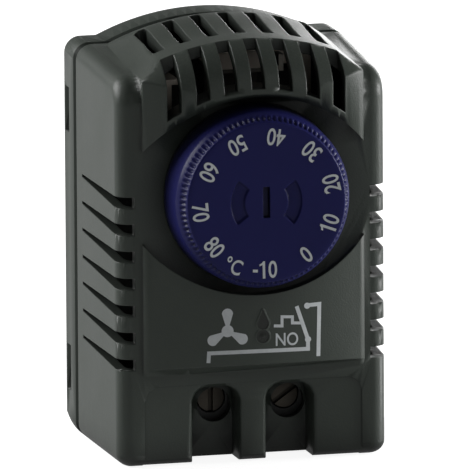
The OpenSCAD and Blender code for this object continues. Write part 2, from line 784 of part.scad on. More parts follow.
// Contact blade: spring strip with a domed nose that rides on the cam
nose_r = 0.9;
nose_w = 2.8;
nose_z = dial_z - nose_at;
module contact_blade() {
  top = nose_z + 2 * nose_r;
  place() color(copper) {
    along_y([blade_y, blade_y + blade_t]) polygon([[-blade_w / 2, blade_z + run_gap],
      [blade_w / 2, blade_z + run_gap], [blade_w / 2, contact_z + 2 * contact_r],
      [nose_w / 2, nose_z - cam_r / 2],
      [nose_w / 2, top], [-nose_w / 2, top], [-nose_w / 2, nose_z - cam_r / 2],
      [-blade_w / 2, contact_z + 2 * contact_r]]);
    rod(nose_r, [nose_tip + nose_r, blade_y + blade_t / 2], 0, nose_z);
    translate([0, nose_tip + nose_r, nose_z]) sphere(r = nose_r);
  }
}
module set_contact() {
  place() color(silver) rod(contact_r, [blade_y + blade_t, set_y], 0, contact_z);
}

// Clamped foot of the blade, riveted to the left bar
module blade_foot() {
  place() color(copper)
    block([-blade_w / 2, blade_w / 2], [blade_y, blade_y + blade_t],
      [block_top + run_gap, blade_z - run_gap / 2]);
}
rivet_r = 0.8;
module blade_rivets() {
  z = (block_top + blade_z) / 2;
  place() color(steel) for (sx = [-1, 1])
    rod(rivet_r, [blade_y - rivet_r / 2, blade_y], sx * blade_w / 4, z);
}

// Bimetal strip with its contact and the steel tab that the magnet pulls
module bimetal_strip() {
  place() color(tin) block([-strip_w / 2, strip_w / 2], [strip_y, strip_y + strip_t],
    [strip_end, strip_z - run_gap]);
}
module strip_contact() {
  place() color(silver) rod(contact_r, [strip_y - contact_t, strip_y], 0, contact_z);
}
module armature() {
  place() color(steel) block([-strip_w / 2, magnet_x + magnet_w / 2],
    [strip_y + strip_t, strip_y + strip_t + tab_t], [strip_end, strip_end + tab_h]);
}
module magnet() {
  place() color(steel) block([magnet_x - magnet_w / 2, magnet_x + magnet_w / 2],
    [magnet_y, magnet_y + magnet_d], [magnet_z, magnet_z + magnet_w]);
}

// Bracket under the bridge, bent down to carry the strip
bracket_t = 0.84;
bracket_z = bridge_z[0] - bracket_t;
bracket_end = 3.5;
lip_h = 2;
lip_d = 3;
link_gap = 1.4;
link_y = plate_y - rib_t - link_gap;
module anchor_bracket() {
  x = bridge_x[1] + bracket_end;
  place() color(tin) {
    block([bridge_x[0], x], [bridge_y + bracket_t, link_y], [bracket_z, bridge_z[0]]);
    block([-strip_w / 2, strip_w / 2], [strip_y, strip_y + strip_t], [strip_z + run_gap, bracket_z + thin]);
    block([x - bracket_t, x], [bridge_y + bracket_t, bridge_y + bracket_t + lip_d],
      [bracket_z, bridge_z[0] + lip_h]);
  }
}
rivet_clear = 2 * rivet_r;
module bracket_rivets() {
  place() color(steel) for (y = [bridge_y + bracket_end, strip_y + strip_t + rivet_clear])
    translate([0, y, bracket_z - rivet_r / 2]) cylinder(r = rivet_r, h = rivet_r / 2);
}

// Strip that joins the right terminal with the bracket
link_side = 1;
link_w = 2;
link_reach = 2;
link_x = [block_x[1] + link_side, block_x[1] + link_side + link_w];
module link_bar() {
  place() color(tin) {
    block(link_x, [link_y, link_y + rib_t], [block_top + bar_t + snug, bracket_z]);
    block([bridge_x[1] + link_reach, link_x[1]], [link_y, link_y + rib_t],
      [bracket_z - bracket_t, bridge_z[0] + bracket_t]);
  }
}

// Terminal bars: upright through the cage, then bent to their contacts
bar_z = 4.6;
module terminal_bar_left() {
  x = term_x[0];
  place() color(tin) {
    block([x - bar_w / 2, x + bar_w / 2], [bar_y, bar_y + bar_t], [bar_z, block_top + bar_t]);
    block([x - bar_w / 2, -blade_w / 2 - run_gap], [blade_y + blade_t, bar_y + bar_t],
      [block_top, block_top + bar_t]);
    block([x - bar_w / 2, blade_w / 2], [blade_y + blade_t, foot_y], [block_top, block_top + bar_t]);
    block([-blade_w / 2, blade_w / 2], [blade_y + blade_t, foot_y], [block_top, foot_top]);
  }
}
module terminal_bar_right() {
  x = term_x[1];
  place() color(tin) {
    block([x - bar_w / 2, x + bar_w / 2], [bar_y, bar_y + bar_t], [bar_z, block_top + bar_t]);
    block([x - bar_w / 2, link_x[1]], [bar_y, link_y + rib_t], [block_top, block_top + bar_t]);
  }
}

// Slotted terminal screw along Y
module terminal_screw(x, turn) {
  color(steel) translate([x, 0, screw_z]) difference() {
    union() {
      rod(head_r, [head_y, head_y + head_t]);
      rod(thread_r, [head_y + head_t - thin, bar_y - run_gap]);
    }
    rotate([0, turn, 0]) block([-head_r / 6, head_r / 6], [head_y - over, head_y + head_t / 2],
      [-head_r - over, head_r + over]);
  }
}
module terminal_screw_left() { place() terminal_screw(term_x[0], 0); }
module terminal_screw_right() { place() terminal_screw(term_x[1], 55); }

// Clamp cage: a loop round the bar, drawn forward by its screw
cage_drop = 0.5;
module clamp_cage(x) {
  color(steel) difference() {
    block([x - cage_w / 2, x + cage_w / 2], [cage_front, cage_front + cage_d],
      [screw_z - cage_h / 2 - cage_drop, screw_z + cage_h / 2 - cage_drop]);
    block([x - cage_w / 2 + cage_t, x + cage_w / 2 - cage_t],
      [cage_front + cage_t, cage_front + cage_d - cage_t], [0, 2 * screw_z]);
    rod(thread_r + thread_fit, [cage_front - over, cage_front + cage_t + over], x, screw_z);
  }
}
module clamp_cage_left() { place() clamp_cage(term_x[0]); }
module clamp_cage_right() { place() clamp_cage(term_x[1]); }

// Sprung latch that slides down to free the rail
latch_top = rail_z - rail_h / 2 - run_gap;
window_z = [peg_z - run_gap, peg_z + peg_h + spring_l];
pull_z = 1;
pull_h = 1.2;
pull_w = 2;
module rail_latch() {
  y1 = back_y + hook_d;
  x1 = latch_w / 2 - guide_lip - run_gap;
  place() color(cream) difference() {
    union() {
      block([-x1, x1], [latch_y, y1], [latch_z, latch_top]);
      block([-latch_w / 2, latch_w / 2], [latch_y, latch_y + latch_step], [latch_z + heel_h, latch_top]);
      block([-x1, x1], [back_y + flange_gap, y1], [latch_top - thin, latch_top + hook_lip]);
    }
    block([-peg_w / 2 - run_gap, peg_w / 2 + run_gap], [latch_y - over, y1 + over], window_z);
    block([-pull_w, pull_w], [latch_y + latch_step, y1 + over],
      [latch_z + pull_z, latch_z + pull_z + pull_h]);
  }
}

// Coil spring between the peg and the latch, one unbroken wire
spring_z = [peg_z + peg_h + snug, window_z[1] - snug];
spring_y = latch_y + spring_r + (hook_d - run_gap - 2 * spring_r) / 2;
spring_sides = 6;
rings_per_turn = 8;
module latch_spring() {
  n = spring_turns * rings_per_turn;
  h = spring_z[1] - spring_z[0] - 2 * spring_wire;
  rm = spring_r - spring_wire;
  pts = [for (i = [0 : n], k = [0 : spring_sides - 1])
    let (a = 360 * i / rings_per_turn, b = 360 * k / spring_sides, r = rm + spring_wire * cos(b))
      [r * cos(a), r * sin(a), h * i / n + spring_wire * sin(b)]];
  skin = [for (i = [0 : n - 1], k = [0 : spring_sides - 1])
    let (p = spring_sides * i, a = p + k, b = p + (k + 1) % spring_sides)
      each [[a, b, b + spring_sides], [a, b + spring_sides, a + spring_sides]]];
  echo(str("Latch spring: least gap between its turns ", h / spring_turns - 2 * spring_wire, " mm"));
  place() color(steel) translate([0, spring_y, spring_z[0] + spring_wire])
    polyhedron(pts, concat(skin, [[for (k = [spring_sides - 1 : -1 : 0]) k],
      [for (k = [0 : spring_sides - 1]) n * spring_sides + k]]));
}

front_cover();
rear_base();
carrier();
carrier_screws();
strip_bridge();
side_stay();
dial();
dial_spindle();
spindle_cam();
spindle_clip();
friction_washer();
contact_blade();
set_contact();
blade_foot();
blade_rivets();
bimetal_strip();
strip_contact();
armature();
anchor_bracket();
bracket_rivets();
magnet();
link_bar();
terminal_bar_left();
terminal_bar_right();
terminal_screw_left();
terminal_screw_right();
clamp_cage_left();
clamp_cage_right();
rail_latch();
latch_spring();
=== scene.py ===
# %% [markdown]
# # A small rail thermostat, dressed for the camera
#
# The fixed model already gives every rigid piece its true size and place: a slate
# coloured housing with vents and louvres, a blue setting knob, and a snap switch inside.
# This lesson adds what a solid can't carry: the moulded grain, the toothed knob with its
# printed scale, the printed signs on the panel, and the studio.

# %% Load the fixed model
import math
import bmesh
import bpy
import numpy as np
from mathutils import Matrix, Vector


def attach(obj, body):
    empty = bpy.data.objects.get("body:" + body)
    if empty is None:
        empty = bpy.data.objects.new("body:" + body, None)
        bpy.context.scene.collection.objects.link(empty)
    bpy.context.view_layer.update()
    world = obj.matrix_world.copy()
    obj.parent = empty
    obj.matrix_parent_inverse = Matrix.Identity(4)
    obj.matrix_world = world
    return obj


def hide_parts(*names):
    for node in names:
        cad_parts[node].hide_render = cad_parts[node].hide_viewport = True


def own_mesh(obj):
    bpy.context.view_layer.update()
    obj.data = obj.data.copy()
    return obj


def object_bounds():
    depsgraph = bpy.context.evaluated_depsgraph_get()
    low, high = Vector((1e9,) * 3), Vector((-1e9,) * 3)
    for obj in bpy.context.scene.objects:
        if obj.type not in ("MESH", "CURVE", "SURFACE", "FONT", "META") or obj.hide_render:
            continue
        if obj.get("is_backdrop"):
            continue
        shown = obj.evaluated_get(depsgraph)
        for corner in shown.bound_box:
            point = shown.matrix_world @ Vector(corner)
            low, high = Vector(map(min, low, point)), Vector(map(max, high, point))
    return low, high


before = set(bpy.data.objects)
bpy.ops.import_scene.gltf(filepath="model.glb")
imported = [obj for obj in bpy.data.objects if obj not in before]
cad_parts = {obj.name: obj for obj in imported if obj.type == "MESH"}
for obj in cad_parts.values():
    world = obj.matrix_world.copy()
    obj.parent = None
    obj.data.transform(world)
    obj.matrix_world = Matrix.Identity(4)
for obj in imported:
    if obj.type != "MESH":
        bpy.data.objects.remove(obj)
cad_box = [list(corner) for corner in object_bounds()]

# %% [markdown]
# ## One ruler for everything
#
# A case like this is drawn in millimetres, with y counted backwards from the front
# columns. Blender works in metres about the middle of the footprint. One small function
# turns the first into the second, so each number below can be read off the drawing.

# %% Case millimetres to metres
MM = 0.001
MID_Y = 14.4


def metres(points):
    """Each point less the middle of the depth, times one thousandth."""
    return (np.asarray(points, float) - (0.0, MID_Y, 0.0)) * MM


print("knob face lies at y =", metres((0, -9.5, 45.55))[1].round(5), "m")

# %% [markdown]
# ## The camera
#
# The case was photographed from far away with a long lens, a little from its left and a
# little from above, so its upright edges stay almost parallel. The three angles were
# found by matching the outline, and the lens follows from the distance.

# %% Place the camera
PICTURE_HEIGHT = 469      # pixels, the longer side of the picture
LENS_REACH = 18000        # pixels that one radian covers
SENSOR = 36               # millimetres
HALF_HEIGHT = 36.8        # the camera aims at this height of the case


def add_object(name, data):
    """A new object at the origin that shows its data."""
    made = bpy.data.objects.new(name, data)
    bpy.context.scene.collection.objects.link(made)
    return made


def aim_camera(yaw, pitch, roll, distance, across, up):
    """Look along (sin yaw cos pitch, cos yaw cos pitch, -sin pitch), then roll about it."""
    yaw, pitch, roll = np.radians((yaw, pitch, roll))
    ahead = Vector((math.sin(yaw) * math.cos(pitch), math.cos(yaw) * math.cos(pitch),
                    -math.sin(pitch)))
    right = Vector((math.cos(yaw), -math.sin(yaw), 0))
    above = right.cross(ahead)
    side = right * math.cos(roll) + above * math.sin(roll)
    top = above * math.cos(roll) - right * math.sin(roll)
    aim = Vector((0, -MID_Y, HALF_HEIGHT))
    place = (aim - ahead * distance - side * across + top * up) * MM
    camera = add_object("photo_camera", bpy.data.cameras.new("photo_camera"))
    camera.matrix_world = Matrix(((side.x, top.x, -ahead.x, place.x),
                                  (side.y, top.y, -ahead.y, place.y),
                                  (side.z, top.z, -ahead.z, place.z), (0, 0, 0, 1)))
    camera.data.sensor_width = SENSOR
    camera.data.lens = LENS_REACH * SENSOR / PICTURE_HEIGHT
    camera.data.clip_start, camera.data.clip_end = 0.1, 50
    bpy.context.scene.camera = camera
    return camera


camera = aim_camera(14.2, 10.92, -0.36, 2977.35, 4.58, 1.59)
print("camera stands", round(camera.location.length, 2), "m away")

# %% [markdown]
# ## The studio
#
# The light comes from a large soft lamp high on the left and a little behind, so the
# left side and the roof are bright and the front is in soft shade. A smaller lamp far to
# the right only grazes the front, which shows how its panel curves. A weak lamp in front
# keeps the front readable, and one behind does the same for the back. The backdrop is
# white only to the camera and, dimmed, to reflections. To the object it is nearly dark,
# so the lamps alone make its light and shade.

# %% Lamps
LAMP_TARGET = Vector((0, 0, 0.04))


def soft_lamp(name, place, size, power):
    """A square lamp at a place, turned so that its beam runs to the middle of the case."""
    data = bpy.data.lights.new(name, "AREA")
    data.size, data.energy = size, power
    lamp = add_object(name, data)
    turn = (LAMP_TARGET - Vector(place)).to_track_quat("-Z", "Y")
    lamp.matrix_world = Matrix.Translation(place) @ turn.to_matrix().to_4x4()
    return lamp


lamps = [soft_lamp("key_left", (-0.68, 0.42, 0.47), 0.5, 7.8),
         soft_lamp("graze_right", (0.8, -0.05, 0.12), 0.3, 6.6),
         soft_lamp("soft_back", (0.52, 0.8, 0.19), 0.4, 3.6),
         soft_lamp("fill_front", (0.35, -0.9, 0.5), 0.6, 0.6)]
print("lamps:", [lamp.name for lamp in lamps])


# %% Node helpers
def math_node(tree, operation, *values, clamp=False):
    """One sum on two or three values, where each is a socket or a number."""
    node = tree.nodes.new("ShaderNodeMath")
    node.operation, node.use_clamp = operation, clamp
    for socket, value in zip(node.inputs, values):
        if isinstance(value, (int, float)):
            socket.default_value = value
        else:
            tree.links.new(value, socket)
    return node.outputs[0]


def seen_directly(tree, glossy):
    """Camera ray + glossy * (glossy ray + transmission ray); zero for light rays."""
    path = tree.nodes.new("ShaderNodeLightPath").outputs
    mirror = math_node(tree, "ADD", path["Is Glossy Ray"], path["Is Transmission Ray"])
    return math_node(tree, "MULTIPLY_ADD", mirror, glossy, path["Is Camera Ray"])


def blank(name, **fixed):
    """A material with only a Principled shader, whose fixed sockets are set at once."""
    finish = bpy.data.materials.new(name)
    finish.use_nodes = True
    shader = finish.node_tree.nodes["Principled BSDF"]
    for label, value in fixed.items():
        shader.inputs[label.replace("_", " ")].default_value = value
    return finish, finish.node_tree, shader


print("helpers for sums, rays and blank finishes are ready")

# %% World
SKY_LIGHT = 0.08
world = bpy.data.worlds.new("studio")
bpy.context.scene.world = world
world.use_nodes = True
sky = world.node_tree
backdrop = sky.nodes["Background"].inputs
backdrop["Color"].default_value = (1, 1, 1, 1)
sky.links.new(math_node(sky, "MAXIMUM", seen_directly(sky, 0.15), SKY_LIGHT),
              backdrop["Strength"])
bpy.context.scene.view_settings.view_transform = "Standard"
print("backdrop is white to the camera, and lights the object at", SKY_LIGHT)

# %% Floor
FLOOR_Z = -5e-5           # a little under the feet, so that no two faces share a plane
floor_mesh = bpy.data.meshes.new("floor")
floor_mesh.from_pydata([(-4, -4, FLOOR_Z), (4, -4, FLOOR_Z), (4, 6, FLOOR_Z), (-4, 6, FLOOR_Z)],
                       [], [(0, 1, 2, 3)])
floor = add_object("floor", floor_mesh)
floor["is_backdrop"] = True
paper, paper_tree, paper_shader = blank(
    "white_paper", Base_Color=(0.45, 0.45, 0.45, 1), Roughness=0.9,
    Emission_Color=(0.9, 0.9, 0.9, 1))
paper_tree.links.new(seen_directly(paper_tree, 0.35), paper_shader.inputs["Emission Strength"])
floor.data.materials.append(paper)
print("floor lies at", FLOOR_Z, "m")

# %% [markdown]
# ## Finishes that several pieces share
#
# Moulded plastic is never perfectly flat: the steel tool is spark eroded and leaves a
# fine pebble grain, the flow leaves broad soft clouds, and edges turn lighter with use,
# which also paints a highlight along them. Dust settles on top, and gaps are darkened
# with painted shade. Each of these effects is a node group, built once and set
# differently in each finish.

# %% Group helpers
FLOAT, VECTOR = "NodeSocketFloat", "NodeSocketVector"


def new_group(name, inputs, outputs):
    """An empty shader group with named sockets: (label, kind, value) in, (label, kind) out."""
    group = bpy.data.node_groups.new(name, "ShaderNodeTree")
    for label, kind, value in inputs:
        socket = group.interface.new_socket(name=label, in_out="INPUT", socket_type=kind)
        socket.default_value = value
    for label, kind in outputs:
        group.interface.new_socket(name=label, in_out="OUTPUT", socket_type=kind)
    return group, group.nodes.new("NodeGroupInput"), group.nodes.new("NodeGroupOutput")


def noise_node(tree, scale, detail, where=None):
    """Noise on the piece's own coordinates, in features per metre."""
    node = tree.nodes.new("ShaderNodeTexNoise")
    if where is None:
        where = tree.nodes.new("ShaderNodeTexCoord").outputs["Object"]
    tree.links.new(where, node.inputs["Vector"])
    if isinstance(scale, (int, float)):
        node.inputs["Scale"].default_value = scale
    else:
        tree.links.new(scale, node.inputs["Scale"])
    node.inputs["Detail"].default_value = detail
    return node.outputs["Fac"]


print("group helpers ready")

# %% Moulded grain and clouds
BROAD_SHARE, FINE_SHARE = 0.7, 0.3
grain, grain_in, grain_out = new_group("moulded_grain", [("Pebbles per metre", FLOAT, 3500.0)],
                                       [("Height", FLOAT), ("Clouds", FLOAT)])
pebbles = noise_node(grain, grain_in.outputs[0], 2.0)
broad = noise_node(grain, 90.0, 3.0)
fine = noise_node(grain, 700.0, 2.0)
grain.links.new(pebbles, grain_out.inputs["Height"])
clouds = math_node(grain, "ADD", math_node(grain, "MULTIPLY", broad, BROAD_SHARE),
                   math_node(grain, "MULTIPLY", fine, FINE_SHARE))
grain.links.new(clouds, grain_out.inputs["Clouds"])
print("grain group:", len(grain.nodes), "nodes")

# %% Edges lighter with use, and a painted highlight
WEAR_AND_SHEEN_GAIN = 3.0           # 1 - dot product of a third already counts as fully lightened
wear_and_sheen, wear_and_sheen_in, wear_and_sheen_out = new_group(
    "rubbed_and_highlit_edges", [("Radius", FLOAT, 0.0003), ("Patchiness", FLOAT, 400.0)],
    [("Mask", FLOAT), ("Round Normal", VECTOR)])
rounded = wear_and_sheen.nodes.new("ShaderNodeBevel")
rounded.samples = 6
wear_and_sheen.links.new(wear_and_sheen_in.outputs["Radius"], rounded.inputs["Radius"])
true_normal = wear_and_sheen.nodes.new("ShaderNodeNewGeometry")
dot = wear_and_sheen.nodes.new("ShaderNodeVectorMath")
dot.operation = "DOT_PRODUCT"
wear_and_sheen.links.new(rounded.outputs[0], dot.inputs[0])
wear_and_sheen.links.new(true_normal.outputs["Normal"], dot.inputs[1])
turned_away = math_node(wear_and_sheen, "SUBTRACT", 1.0, dot.outputs["Value"])
patch = noise_node(wear_and_sheen, wear_and_sheen_in.outputs["Patchiness"], 3.0)
# Painted highlight and lightening with use: where the rounded normal turns from the true one,
# edges get lighter, in patches.
rubbed_and_highlit = math_node(wear_and_sheen, "MULTIPLY", turned_away, WEAR_AND_SHEEN_GAIN, clamp=True)
wear_and_sheen.links.new(math_node(wear_and_sheen, "MULTIPLY", rubbed_and_highlit, patch), wear_and_sheen_out.inputs["Mask"])
wear_and_sheen.links.new(rounded.outputs[0], wear_and_sheen_out.inputs["Round Normal"])
print("edge group:", len(wear_and_sheen.nodes), "nodes")

# %% Dust on upward faces
SPECK_FLOOR = 0.45        # noise below this leaves no speck
dust, dust_in, dust_out = new_group("settled_dust", [("Amount", FLOAT, 0.3)], [("Mask", FLOAT)])
facing = dust.nodes.new("ShaderNodeNewGeometry")
split = dust.nodes.new("ShaderNodeSeparateXYZ")
dust.links.new(facing.outputs["Normal"], split.inputs[0])
upward = math_node(dust, "MULTIPLY", split.outputs["Z"], 1.0, clamp=True)
specks = math_node(dust, "SUBTRACT", noise_node(dust, 2600.0, 4.0), SPECK_FLOOR, clamp=True)
settled = math_node(dust, "MULTIPLY", upward, specks)
dust.links.new(math_node(dust, "MULTIPLY", settled, dust_in.outputs["Amount"]),
               dust_out.inputs["Mask"])
print("dust group:", len(dust.nodes), "nodes")

# %% Painted shade in deep gaps
SHADE_GAIN = 1.5
gap_shade_group, gap_shade_in, gap_shade_out = new_group("gap_painted_shade", [("Reach", FLOAT, 0.006)], [("Mask", FLOAT)])
open_sky = gap_shade_group.nodes.new("ShaderNodeAmbientOcclusion")
open_sky.samples = 8
gap_shade_group.links.new(gap_shade_in.outputs["Reach"], open_sky.inputs["Distance"])
# Painted shade: the more a spot is shut in, the more its colour is darkened.
shut = math_node(gap_shade_group, "SUBTRACT", 1.0, open_sky.outputs["AO"])
gap_shade_group.links.new(math_node(gap_shade_group, "MULTIPLY", shut, SHADE_GAIN, clamp=True), gap_shade_out.inputs["Mask"])
print("grime group:", len(gap_shade_group.nodes), "nodes")

# %% Drawn lines in metal
drawn, drawn_in, drawn_out = new_group(
    "drawn_lines", [("Stretch", VECTOR, (1.0, 1.0, 30.0)), ("Lines per metre", FLOAT, 300.0)],
    [("Lines", FLOAT)])
place = drawn.nodes.new("ShaderNodeTexCoord")
scaled = drawn.nodes.new("ShaderNodeVectorMath")
scaled.operation = "MULTIPLY"
drawn.links.new(place.outputs["Object"], scaled.inputs[0])
drawn.links.new(drawn_in.outputs["Stretch"], scaled.inputs[1])
lines = noise_node(drawn, drawn_in.outputs["Lines per metre"], 3.0, scaled.outputs[0])
drawn.links.new(lines, drawn_out.inputs["Lines"])
print("line group:", len(drawn.nodes), "nodes")

# %% [markdown]
# ## Plastic and metal
#
# Colours are written as the eye reads them on a swatch, from 0 to 255, and turned into
# linear light. A plastic mixes its own colour with a paler one where it is dusty and
# along its edges, which lighten with use and as a painted highlight, and with a dark one
# in gaps as painted shade. Grain goes into the normal through a bump of a few hundredths
# of a millimetre.


# %% Colours and masks
def swatch(colour):
    """Each part c of 255 becomes ((c + 0.055) / 1.055) to the power 2.4."""
    c = np.array(colour) / 255.0
    linear = np.where(c <= 0.04045, c / 12.92, ((c + 0.055) / 1.055) ** 2.4)
    return (*linear.tolist(), 1.0)


def use(tree, group, **values):
    """Place a shared group in a material and set its inputs by name."""
    node = tree.nodes.new("ShaderNodeGroup")
    node.node_tree = group
    for label, value in values.items():
        node.inputs[label.replace("_", " ")].default_value = value
    return node


def mixed(tree, amount, first, second):
    """A mix of two colours, each a socket or a written colour."""
    node = tree.nodes.new("ShaderNodeMix")
    node.data_type = "RGBA"
    for index, value in ((0, amount), (6, first), (7, second)):
        if hasattr(value, "is_output"):
            tree.links.new(value, node.inputs[index])
        else:
            node.inputs[index].default_value = value
    return node.outputs[2]


def ranged(tree, value, low, high):
    """Map a mask from 0..1 to low..high."""
    node = tree.nodes.new("ShaderNodeMapRange")
    tree.links.new(value, node.inputs["Value"])
    node.inputs["To Min"].default_value, node.inputs["To Max"].default_value = low, high
    return node.outputs["Result"]


def bumped(tree, shader, height, depth, edges):
    """A height of so many metres as bump on the rounded edges' normal."""
    bump = tree.nodes.new("ShaderNodeBump")
    bump.inputs["Distance"].default_value = depth
    tree.links.new(height, bump.inputs["Height"])
    tree.links.new(edges.outputs["Round Normal"], bump.inputs["Normal"])
    tree.links.new(bump.outputs[0], shader.inputs["Normal"])


# The second colour paints shade into gaps on plastic, and the third into gaps on metal.
DUST, GAP_PAINTED_SHADE, METAL_GAP_PAINTED_SHADE = swatch((150, 148, 142)), swatch((14, 15, 15)), swatch((30, 28, 26))
print("dust in linear light:", np.round(DUST[:3], 3))


# %% A plastic
def plastic(name, low, high, worn_and_highlit, rough, pebbles=3500.0, depth=0.00003, edge=0.0003,
            rub_and_sheen=0.35, dusty=0.25, grime=0.8, **fixed):
    """Clouds between two colours, lighter edges for use and as a painted highlight, dust, painted
    shade in gaps, and grain as bump.
    """
    finish, tree, shader = blank(name, **fixed)
    skin = use(tree, grain, Pebbles_per_metre=pebbles)
    edges = use(tree, wear_and_sheen, Radius=edge)
    top = use(tree, dust, Amount=dusty)
    colour = mixed(tree, skin.outputs["Clouds"], swatch(low), swatch(high))
    # Edges take a paler colour, for use and as a painted highlight.
    worn_and_highlit_share = math_node(tree, "MULTIPLY", edges.outputs["Mask"], rub_and_sheen)
    colour = mixed(tree, worn_and_highlit_share, colour, swatch(worn_and_highlit))
    colour = mixed(tree, top.outputs["Mask"], colour, DUST)
    # Painted shade: gaps are darkened towards near black.
    dark = math_node(tree, "MULTIPLY", use(tree, gap_shade_group).outputs["Mask"], grime)
    tree.links.new(mixed(tree, dark, colour, GAP_PAINTED_SHADE), shader.inputs["Base Color"])
    tree.links.new(ranged(tree, skin.outputs["Clouds"], *rough), shader.inputs["Roughness"])
    bumped(tree, shader, skin.outputs["Height"], depth, edges)
    return finish


slate = plastic("slate_housing", (55, 62, 57), (70, 77, 70), (120, 124, 116), (0.34, 0.52),
                Specular_IOR_Level=0.36)
print(slate.name, "has", len(slate.node_tree.nodes), "nodes")

# %% A metal
METAL_EDGE, LINE_DEPTH = 0.0001, 0.000004


def metal(name, low, high, rough, stretch, grime=0.85, **fixed):
    """Two shades along drawn lines, which also steer the gloss and a faint bump."""
    finish, tree, shader = blank(name, Metallic=1.0, **fixed)
    marks = use(tree, drawn, Stretch=stretch)
    edges = use(tree, wear_and_sheen, Radius=METAL_EDGE)
    # Painted shade: gaps on metal are darkened towards a dark brown.
    dark = math_node(tree, "MULTIPLY", use(tree, gap_shade_group).outputs["Mask"], grime)
    colour = mixed(tree, marks.outputs["Lines"], swatch(low), swatch(high))
    tree.links.new(mixed(tree, dark, colour, METAL_GAP_PAINTED_SHADE), shader.inputs["Base Color"])
    tree.links.new(ranged(tree, marks.outputs["Lines"], *rough), shader.inputs["Roughness"])
    bumped(tree, shader, marks.outputs["Lines"], LINE_DEPTH, edges)
    return finish


zinc = metal("zinc_plated_steel", (104, 102, 96), (146, 143, 135), (0.22, 0.42),
             (30.0, 1.0, 30.0))
tin = metal("tinned_brass", (186, 178, 166), (216, 208, 196), (0.3, 0.5), (30.0, 1.0, 1.0),
            grime=0.25)
# The terminal screws get a darker steel, painted shade of their deep channels.
painted_shade_screw_steel = metal("screw_steel_painted_shade", (78, 74, 68), (112, 107, 98), (0.35, 0.5),
                    (1.0, 1.0, 30.0), grime=0.9)
print(zinc.name, tin.name, "and", painted_shade_screw_steel.name)

# %% The other plastics
# Inside the drop: a glossier slate, painted darker as shade in the hollow.
drop_painted_shade = plastic("polished_drop_painted_shade", (34, 38, 34), (44, 48, 44), (100, 102, 98), (0.22, 0.32),
                     pebbles=5000.0, depth=0.000004, Specular_IOR_Level=0.3)
knob_blue = plastic("knob_blue", (28, 30, 84), (33, 34, 94), (80, 84, 165), (0.30, 0.42),
                    pebbles=5000.0, depth=0.000006, edge=0.00012, rub_and_sheen=0.5, dusty=0.05,
                    Specular_IOR_Level=0.15)
inner_dark = plastic("inner_carrier", (48, 50, 49), (58, 60, 58), (90, 90, 86), (0.5, 0.65),
                     dusty=0.1)
cream = plastic("cream_ceramic", (232, 220, 206), (242, 232, 220), (246, 240, 230), (0.5, 0.7),
                pebbles=6000.0, dusty=0.1, grime=0.0)
latch_grey = plastic("latch_slide", (44, 47, 46), (54, 57, 55), (96, 98, 94), (0.4, 0.55))
ferrite = plastic("dark_ferrite", (46, 46, 48), (60, 60, 62), (90, 90, 92), (0.45, 0.6),
                  pebbles=2000.0, dusty=0.0)
others = (drop_painted_shade, knob_blue, inner_dark, cream, latch_grey, ferrite)
print("plastics:", [finish.name for finish in others])

# %% The other metals and the ink
spring_steel = metal("spring_steel", (150, 150, 148), (190, 190, 186), (0.2, 0.35),
                     (20.0, 20.0, 20.0))
bimetal = metal("rolled_bimetal", (160, 150, 138), (188, 178, 164), (0.3, 0.5),
                (60.0, 60.0, 1.0))
bronze = metal("spring_bronze", (184, 134, 88), (206, 156, 108), (0.25, 0.4),
               (60.0, 60.0, 1.0))
silver = metal("contact_silver", (200, 200, 196), (226, 226, 222), (0.3, 0.45),
               (8.0, 8.0, 8.0))
ink, ink_tree, ink_shader = blank("white_ink")
ink_shade = mixed(ink_tree, noise_node(ink_tree, 1500.0, 3.0), swatch((206, 212, 214)),
                  swatch((230, 234, 236)))
ink_gloss = ranged(ink_tree, noise_node(ink_tree, 900.0, 2.0), 0.45, 0.65)
ink_tree.links.new(ink_shade, ink_shader.inputs["Base Color"])
ink_tree.links.new(ink_gloss, ink_shader.inputs["Roughness"])
print("finishes:", len(bpy.data.materials))

# %% [markdown]
# ## Dressing the rigid pieces
#
# Most rigid pieces only need a finish. The two housing shells also need smooth shading:
# their rounded shoulders are made of small flat facets. A welded copy, with its flat
# faces dominating the normals, looks like one moulding and stands for the original.

# %% Finishes by piece
pieces_of = (
    (slate, "front_cover rear_base"), (knob_blue, "dial"), (latch_grey, "rail_latch"),
    (inner_dark, "carrier"), (cream, "strip_bridge spindle_cam"), (ferrite, "magnet"),
    (zinc, "carrier_screws dial_spindle blade_rivets armature anchor_bracket bracket_rivets "
           "clamp_cage_left clamp_cage_right"),
    (tin, "side_stay link_bar terminal_bar_left terminal_bar_right"),
    (painted_shade_screw_steel, "terminal_screw_left terminal_screw_right"),
    (spring_steel, "spindle_clip friction_washer latch_spring"), (bimetal, "bimetal_strip"),
    (bronze, "contact_blade blade_foot"), (silver, "set_contact strip_contact"))
finish_of = {node: finish for finish, nodes in pieces_of for node in nodes.split()}
for node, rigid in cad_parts.items():
    rigid.data.materials.clear()
    rigid.data.materials.append(finish_of[node])
print(len(finish_of), "pieces have a finish")

# %% Welded shells
WELD = 2e-7               # metres between corners that become one
SHELL_ANGLE = 32          # degrees between faces that still shade as one


def smooth(mesh, angle):
    """Smooth faces, with a sharp edge wherever two of them turn by more than the angle."""
    mesh.polygons.foreach_set("use_smooth", np.ones(len(mesh.polygons), bool))
    mesh.set_sharp_from_angle(angle=math.radians(angle))


